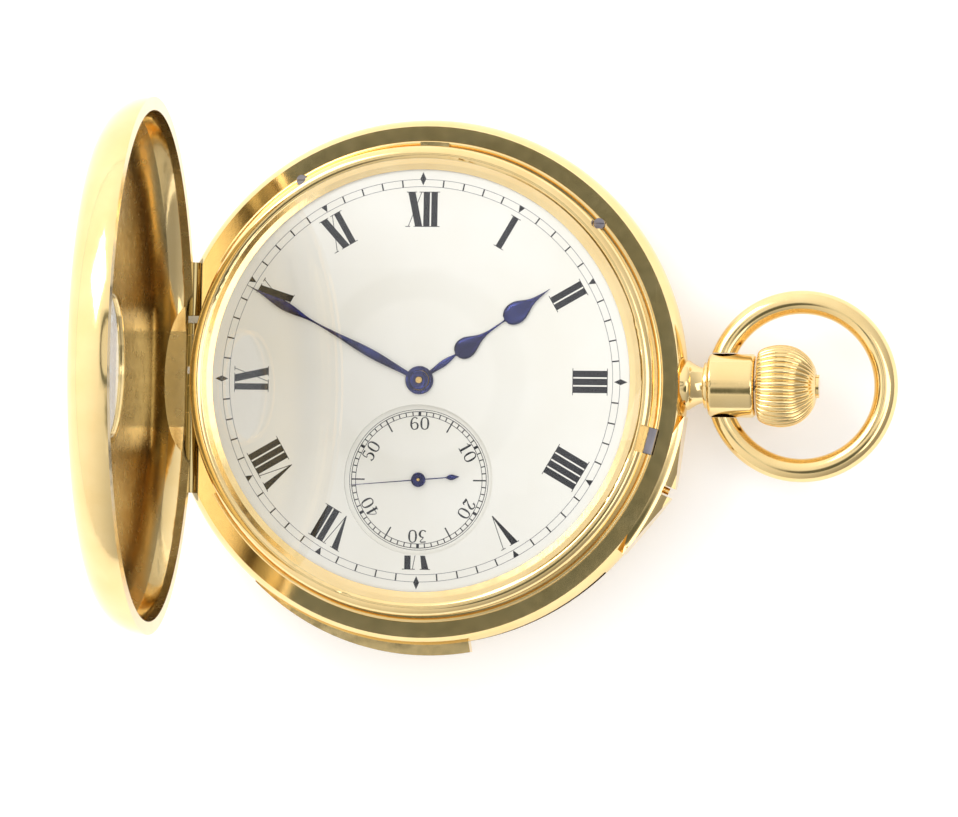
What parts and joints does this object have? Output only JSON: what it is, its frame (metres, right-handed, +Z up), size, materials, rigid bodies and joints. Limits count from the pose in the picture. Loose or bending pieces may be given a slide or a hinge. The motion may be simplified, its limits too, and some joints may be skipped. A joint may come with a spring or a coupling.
{
  "type": "half hunter pocket watch",
  "caption": "Gold half hunter pocket watch with an opening sprung lid, enamel dial, keyless winding crown, bow and repeater slide",
  "frame": {"origin": "On the dial axis, at the flat middle of the outside of the back cover", "axes": "+Z up through the dial and the crystal, +X to the pendant and crown, +Y to the twelve"},
  "size_m": [0.0763, 0.0548, 0.0587],
  "materials": {
    "gold": "polished yellow gold",
    "enamel": "white glossy vitreous enamel",
    "blued_steel": "heat-blued polished steel",
    "steel": "polished steel",
    "brass": "gilt brass",
    "crystal_glass": "clear",
    "ruby": "polished ruby"
  },
  "bodies": {
    "case": {"case_band": "gold", "pendant": "gold", "stem_bush": "steel", "lid_hinge_pin": "steel", "back_hinge_pin": "steel", "cuvette_hinge_pin": "steel", "bezel": "gold", "crystal": "crystal_glass", "fly_spring": "steel", "dog_screws": "steel", "dial": "enamel", "seconds_dial": "enamel", "mainplate": "brass", "three_quarter_plate": "brass", "pillars": "brass", "plate_screws": "steel", "cock_screw": "steel", "jewels": "ruby", "lever_cock": "brass", "balance_cock": "brass", "hairspring": "steel", "gongs": "steel", "gong_block": "steel"},
    "lid": {"lid_shell": "gold", "lid_window_glass": "crystal_glass", "lid_window_ring": "gold"},
    "back": {"back_cover": "gold"},
    "inner_back": {"cuvette": "gold"},
    "bow_body": {"bow": "gold"},
    "crown_body": {"crown": "gold", "winding_stem": "steel", "winding_pinion": "steel"},
    "button": {"crown_button": "gold"},
    "catch": {"lock_spring": "steel"},
    "pin": {"set_pin": "gold"},
    "slide": {"repeater_slide": "gold"},
    "winder": {"crown_wheel": "steel"},
    "ratchet": {"ratchet_wheel": "steel", "barrel_arbor": "steel"},
    "click_body": {"click": "steel"},
    "drum": {"barrel": "brass", "mainspring": "steel"},
    "centre_body": {"centre_wheel": "brass", "cannon_pinion": "steel", "minute_hand": "blued_steel"},
    "third_body": {"third_wheel": "brass"},
    "fourth_body": {"fourth_wheel": "brass", "seconds_hand": "blued_steel"},
    "escape_body": {"escape_wheel": "brass"},
    "lever_body": {"pallet_lever": "steel"},
    "balance_body": {"balance_wheel": "brass"},
    "minute_work": {"minute_wheel": "brass"},
    "setting_work": {"setting_wheel": "brass"},
    "hour_body": {"hour_wheel": "brass", "hour_hand": "blued_steel"},
    "hour_striker": {"hour_hammer": "steel"},
    "minute_striker": {"minute_hammer": "steel"}
  },
  "joints": [
    {"name": "lid_hinge", "type": "hinge", "parent": "case", "child": "lid", "pos_m": [-0.024, 0, 0.0088], "axis": [0, -1, 0], "range_deg": [-86, 0], "stiffness_Nm_per_rad": 0.01, "springref_deg": 17.19},
    {"name": "back_hinge", "type": "hinge", "parent": "case", "child": "back", "pos_m": [-0.0264, 0, 0.0046], "axis": [0, 1, 0], "range_deg": [0, 100]},
    {"name": "inner_back_hinge", "type": "hinge", "parent": "case", "child": "inner_back", "pos_m": [-0.023, 0, 0.00231], "axis": [0, 1, 0], "range_deg": [0, 85]},
    {"name": "bow_swing", "type": "hinge", "parent": "case", "child": "bow_body", "pos_m": [0.0311, 0, 0.0062], "axis": [0, 1, 0], "range_deg": [-80, 80]},
    {"name": "crown_spin", "type": "hinge", "parent": "case", "child": "crown_body", "pos_m": [0, 0, 0.0062], "axis": [1, 0, 0], "continuous": true},
    {"name": "button_press", "type": "slide", "parent": "crown_body", "child": "button", "axis": [1, 0, 0], "range_m": [-0.0005, 0], "stiffness_N_per_m": 600, "springref_m": 0.0002},
    {"name": "catch_draw", "type": "slide", "parent": "case", "child": "catch", "axis": [0.9703, -0.2419, 0], "range_m": [-0.0004, 0]},
    {"name": "set_pin_press", "type": "slide", "parent": "case", "child": "pin", "axis": [0.9178, -0.3971, 0], "range_m": [-0.0008, 0], "stiffness_N_per_m": 300, "springref_m": 0.0002},
    {"name": "repeater_slide_run", "type": "hinge", "parent": "case", "child": "slide", "pos_m": [0, 0, 0.0067], "axis": [0, 0, 1], "range_deg": [0, 33], "stiffness_Nm_per_rad": 0.02, "springref_deg": -17.19},
    {"name": "crown_wheel_spin", "type": "hinge", "parent": "case", "child": "winder", "pos_m": [0.0137, 0, 0.003], "axis": [0, 0, 1], "continuous": true},
    {"name": "ratchet_spin", "type": "hinge", "parent": "case", "child": "ratchet", "pos_m": [0.00579, 0.00689, 0.0029], "axis": [0, 0, 1], "continuous": true},
    {"name": "click_lift", "type": "hinge", "parent": "case", "child": "click_body", "pos_m": [-0.00166, 0.01119, 0.00287], "axis": [0, 0, 1], "range_deg": [0, 8], "stiffness_Nm_per_rad": 0.00002, "springref_deg": -5.73},
    {"name": "seconds_spin", "type": "hinge", "parent": "case", "child": "fourth_body", "pos_m": [0, -0.01005, 0.0055], "axis": [0, 0, -1], "continuous": true},
    {"name": "minutes_spin", "type": "hinge", "parent": "case", "child": "centre_body", "pos_m": [0, 0, 0.0049], "axis": [0, 0, -1], "continuous": true},
    {"name": "third_spin", "type": "hinge", "parent": "case", "child": "third_body", "pos_m": [-0.0053, -0.00552, 0.0061], "axis": [0, 0, -1], "continuous": true},
    {"name": "barrel_spin", "type": "hinge", "parent": "case", "child": "drum", "pos_m": [0.00579, 0.00689, 0.0062], "axis": [0, 0, -1], "continuous": true},
    {"name": "minute_wheel_spin", "type": "hinge", "parent": "case", "child": "minute_work", "pos_m": [0.00384, 0, 0.0092], "axis": [0, 0, -1], "continuous": true},
    {"name": "setting_wheel_spin", "type": "hinge", "parent": "case", "child": "setting_work", "pos_m": [0.00864, 0, 0.0092], "axis": [0, 0, -1], "continuous": true},
    {"name": "hours_spin", "type": "hinge", "parent": "case", "child": "hour_body", "pos_m": [0, 0, 0.0096], "axis": [0, 0, -1], "continuous": true},
    {"name": "escape_spin", "type": "hinge", "parent": "case", "child": "escape_body", "pos_m": [0.00138, -0.01537, 0.0066], "axis": [0, 0, -1], "continuous": true},
    {"name": "lever_rock", "type": "hinge", "parent": "case", "child": "lever_body", "pos_m": [0.0042, -0.0134, 0.0066], "axis": [0, 0, 1], "range_deg": [-4, 4]},
    {"name": "balance_swing", "type": "hinge", "parent": "case", "child": "balance_body", "pos_m": [0.0082, -0.01, 0.0041], "axis": [0, 0, 1], "range_deg": [-220, 220], "stiffness_Nm_per_rad": 0.000005},
    {"name": "hour_hammer_lift", "type": "hinge", "parent": "case", "child": "hour_striker", "pos_m": [-0.01047, 0.0134, 0.00365], "axis": [0, 0, 1], "range_deg": [-12, 0], "stiffness_Nm_per_rad": 0.0002, "springref_deg": 5.73},
    {"name": "minute_hammer_lift", "type": "hinge", "parent": "case", "child": "minute_striker", "pos_m": [-0.01576, 0.00637, 0.00425], "axis": [0, 0, 1], "range_deg": [-12, 0], "stiffness_Nm_per_rad": 0.0002, "springref_deg": 5.73}
  ],
  "couplings": [
    {"joint": "inner_back_hinge", "follows": "back_hinge", "ratio": 0.85},
    {"joint": "crown_wheel_spin", "follows": "crown_spin", "ratio": 0.6},
    {"joint": "ratchet_spin", "follows": "crown_spin", "ratio": -0.4},
    {"joint": "catch_draw", "follows": "button_press", "ratio": 0.8},
    {"joint": "minutes_spin", "follows": "seconds_spin", "ratio": 0.016667},
    {"joint": "third_spin", "follows": "seconds_spin", "ratio": -0.125},
    {"joint": "barrel_spin", "follows": "seconds_spin", "ratio": -0.0020833},
    {"joint": "minute_wheel_spin", "follows": "seconds_spin", "ratio": -0.0055556},
    {"joint": "setting_wheel_spin", "follows": "seconds_spin", "ratio": 0.0083333},
    {"joint": "hours_spin", "follows": "seconds_spin", "ratio": 0.0013889},
    {"joint": "escape_spin", "follows": "seconds_spin", "ratio": -10}
  ]
}
